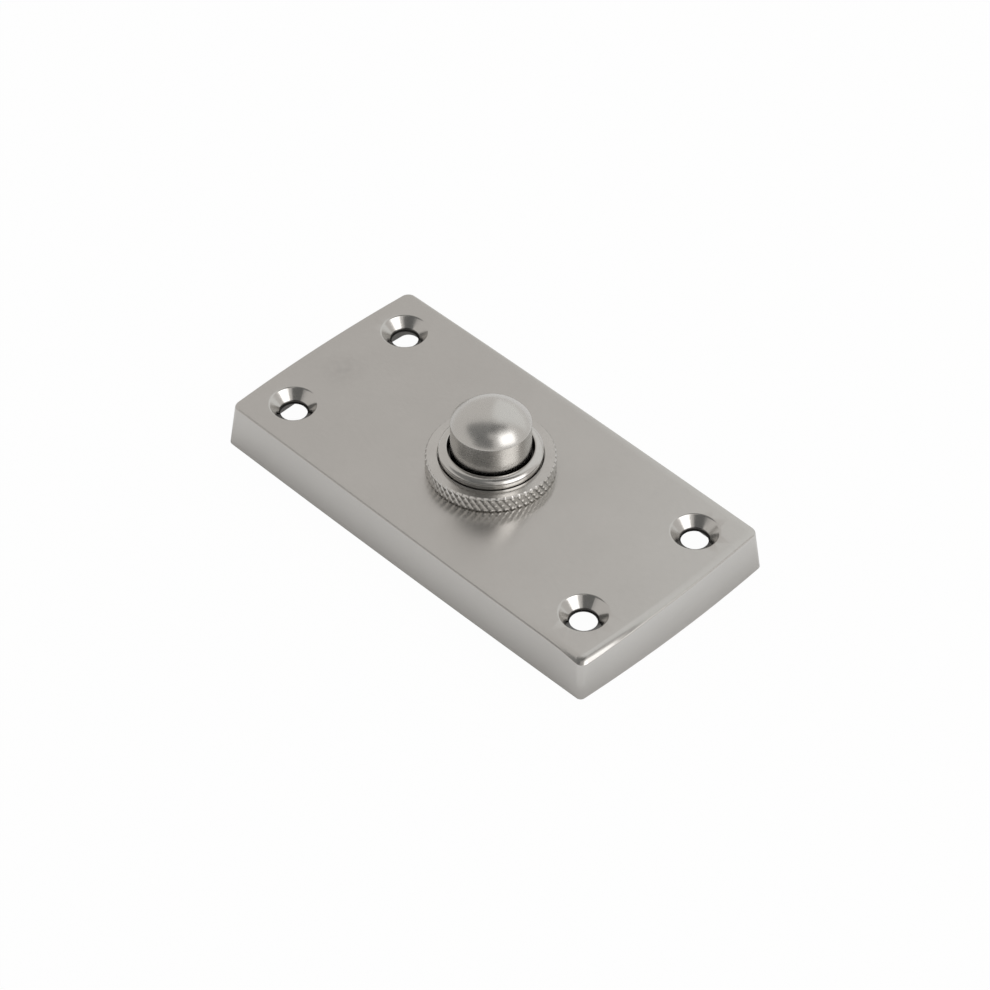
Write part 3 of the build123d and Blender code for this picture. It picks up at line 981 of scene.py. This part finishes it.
# %% Soften the small pieces
softened = {"insulator_base": 0.16, "contact_disc": 0.07, "contact_bush": 0.08, "insulating_washer": 0.06,
            "rear_washer": 0.06, "plunger_stem": 0.08, "stem_clip": 0.06}
for side in ("left", "right"):
    softened["contact_strip_" + side] = 0.06
    softened["contact_rivet_" + side] = 0.10
    softened["terminal_screw_" + side] = 0.09
    softened["terminal_washer_" + side] = 0.05
    softened["terminal_nut_" + side] = 0.10
    softened["base_screw_" + side] = 0.09
    softened["lock_washer_" + side] = 0.06

bodies = frame["record"]["behaviour"]["bodies"]
body_of_node = {node: body for body, nodes in bodies.items() for node in nodes}


def soften(node, width):
    """Copy of a CAD node with narrow rounded edges."""
    builder = bmesh.new()
    builder.from_mesh(frame["nodes"][node].data)
    bmesh.ops.remove_doubles(builder, verts=builder.verts, dist=1e-7)
    bmesh.ops.dissolve_limit(builder, angle_limit=math.radians(0.5), verts=builder.verts, edges=builder.edges)
    piece = add_mesh(node + "_eased", builder)
    piece.data.shade_smooth()
    piece.data.set_sharp_from_angle(angle=math.radians(35))
    bevel = piece.modifiers.new("Edges", "BEVEL")
    bevel.width = width * MM
    bevel.segments = 2
    bevel.limit_method = "ANGLE"
    bevel.angle_limit = math.radians(35)
    bevel.use_clamp_overlap = True
    weight_normals(piece)
    return plain_mesh(piece)


for node, width in softened.items():
    piece = soften(node, width)
    dress(piece, node_slot[node], body_of_node[node])
    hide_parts(node)
print("softened pieces:", len(softened))


# %% [markdown]
# ## Floor and light
# The photograph shows the push on plain white. The floor is a pale matte sheet. Part of it glows to white for
# the camera and for what the metal mirrors, and the rest stays matte, so that the floor keeps the shadow.

# %% Floor
floor_half = 2.0
camera_share = 0.975
glossy_share = (0.47, 0.86)
glossy_from, glossy_to = 0.03, 0.05
contact_share = 0.3
contact_reach = 0.005
transmission_share = 0.4


def blank_material(name):
    """Material without nodes, and the tree to put them in."""
    finish = bpy.data.materials.new(name)
    finish.use_nodes = True
    finish.node_tree.nodes.clear()
    return finish, Nodes(finish.node_tree)


def make_floor_finish():
    finish, tree = blank_material("pale_floor")
    matte = tree.node("ShaderNodeBsdfDiffuse", {"Color": (0.9, 0.9, 0.9, 1)})
    glow = tree.node("ShaderNodeEmission", {"Color": (1, 1, 1, 1)})
    ray = tree.node("ShaderNodeLightPath").outputs
    place = tree.node("ShaderNodeTexCoord").outputs["Object"]
    parts = tree.node("ShaderNodeSeparateXYZ", {0: place}).outputs
    # In the metal, the floor's glow is painted brighter towards the softbox at its right, a painted pool of
    # light
    glossy = tree.ramp(parts[0], glossy_from, glossy_to, *glossy_share)
    # Close to the plate the glow is painted weaker, so the floor is darker there in the metal: painted shade
    # on top of the real contact shadow, which shows in the sides of the plate
    beside = [tree.math("SUBTRACT", tree.math("ABSOLUTE", part), side * MM)
              for part, side in zip(parts, (half_length, half_width))]
    contact = tree.ramp(tree.math("MAXIMUM", beside[0], beside[1]), 0.0, contact_reach, contact_share, 1.0)
    share = tree.math("MULTIPLY", ray["Is Camera Ray"], camera_share)
    share = tree.math("MULTIPLY_ADD", ray["Is Glossy Ray"], tree.math("MULTIPLY", glossy, contact), share)
    share = tree.math("MULTIPLY_ADD", ray["Is Transmission Ray"], transmission_share, share)
    mixed = tree.node("ShaderNodeMixShader", {0: share, 1: matte.outputs[0], 2: glow.outputs[0]})
    tree.node("ShaderNodeOutputMaterial", {"Surface": mixed.outputs[0]})
    return finish


def make_floor():
    builder = bmesh.new()
    signs = ((-1, -1), (1, -1), (1, 1), (-1, 1))
    builder.faces.new([builder.verts.new((x * floor_half, y * floor_half, 0)) for x, y in signs])
    floor = add_mesh("floor", builder)
    floor.data.materials.append(make_floor_finish())


make_floor()

# %% [markdown]
# A small metal object is lit by what surrounds it. Here that is a pale tent, a softbox at its right, and dark
# cards at its front left, where a studio is open, and overhead. They show only in the metal.

# %% Tent, softbox and cards
tent_color = (0.92, 0.893, 0.86)
tent_strength = 0.74
card_distance = 1.3
card_steps = 16


def direction(plan_angle, elevation):
    """Unit vector from the object towards a plan angle, from +X towards +Y, and an elevation, in degrees."""
    plan, rise = math.radians(plan_angle), math.radians(elevation)
    return Vector((math.cos(plan) * math.cos(rise), math.sin(plan) * math.cos(rise), math.sin(rise)))


def make_tent():
    world = bpy.data.worlds.new("tent")
    world.use_nodes = True
    background = world.node_tree.nodes["Background"]
    background.inputs["Color"].default_value = (*tent_color, 1)
    background.inputs["Strength"].default_value = tent_strength
    bpy.context.scene.world = world


def make_softbox(name, plan_angle, elevation, roll, distance, width, height, power):
    lamp = bpy.data.lights.new(name, "AREA")
    lamp.shape = "RECTANGLE"
    lamp.size = width
    lamp.size_y = height
    lamp.energy = power
    holder = add_object(name, lamp)
    away = direction(plan_angle, elevation)
    holder.location = away * distance
    holder.rotation_mode = "QUATERNION"
    leaning = Quaternion(away, math.radians(roll))
    holder.rotation_quaternion = leaning @ away.to_track_quat("Z", "Y")
    holder.visible_camera = False


def make_card(name, plan_low, plan_high, rise_low, rise_high, shade):
    """Curved card, part of a sphere round the object, that shows only in the metal."""
    builder = bmesh.new()
    rows = []
    for i in range(card_steps + 1):
        rise = rise_low + (rise_high - rise_low) * i / card_steps
        plans = [plan_low + (plan_high - plan_low) * j / card_steps for j in range(card_steps + 1)]
        rows.append([builder.verts.new(direction(plan, rise) * card_distance) for plan in plans])
    for low_row, high_row in zip(rows, rows[1:]):
        for j in range(card_steps):
            builder.faces.new((low_row[j], low_row[j + 1], high_row[j + 1], high_row[j]))
    bmesh.ops.remove_doubles(builder, verts=builder.verts, dist=1e-6)
    card = add_mesh(name, builder)
    finish, tree = blank_material(name)
    glow = tree.node("ShaderNodeEmission", {"Color": (shade, shade, shade * 0.98, 1)})
    tree.node("ShaderNodeOutputMaterial", {"Surface": glow.outputs[0]})
    card.data.materials.append(finish)
    card.visible_camera = False
    card.visible_shadow = False


# From and to a plan angle, from and to an elevation, and the shade
cards = {
    "front_card_left": (-150, -95, 39, 68, 0.22),
    "front_card_right": (-95, -37, 32, 56, 0.17),
    "front_card_high": (-95, -58, 56, 68, 0.22),
    "top_card_front": (-155, -40, 68, 90, 0.22),
    "top_card_right": (-40, 48, 67, 90, 0.10),
    "top_card_corner": (23, 50, 57, 67, 0.10),
    "top_card_back": (48, 205, 84, 90, 0.45),
    "back_card": (62, 129, 10, 75, 0.87),
}
make_tent()
make_softbox("softbox_right", plan_angle=10, elevation=43, roll=-22, distance=1.0,
             width=0.66, height=0.42, power=1.5)
for name, numbers in cards.items():
    make_card(name, *numbers)
print("cards:", len(cards))

# %% [markdown]
# ## Camera
# The camera was found from the plate's straight edges and its four holes: a long lens, a little over half a
# metre away, that looks down at 45 degrees over the near corner.

# %% Camera
camera_azimuth = math.radians(45.001)
camera_elevation = math.radians(44.598)
camera_roll = math.radians(0.300)
camera_distance = 0.5747
aim_right = 0.000669
aim_up = 0.001246
camera_lens = 134.07


def make_camera():
    data = bpy.data.cameras.new("camera")
    data.sensor_width = 36.0
    data.lens = camera_lens
    data.clip_start = 0.01
    data.clip_end = 20.0
    camera = add_object("camera", data)
    bpy.context.scene.camera = camera
    back = Vector((math.sin(camera_azimuth) * math.cos(camera_elevation),
                   -math.cos(camera_azimuth) * math.cos(camera_elevation), math.sin(camera_elevation)))
    level = Vector((math.cos(camera_azimuth), math.sin(camera_azimuth), 0.0))
    rise = back.cross(level)
    right = math.cos(camera_roll) * level + math.sin(camera_roll) * rise
    up = -math.sin(camera_roll) * level + math.cos(camera_roll) * rise
    camera.location = right * aim_right + up * aim_up + back * camera_distance
    camera.rotation_mode = "QUATERNION"
    camera.rotation_quaternion = Matrix((right, up, back)).transposed().to_quaternion()
    print("camera at", [round(value, 4) for value in camera.location])


make_camera()
bpy.context.scene.view_settings.view_transform = "Standard"
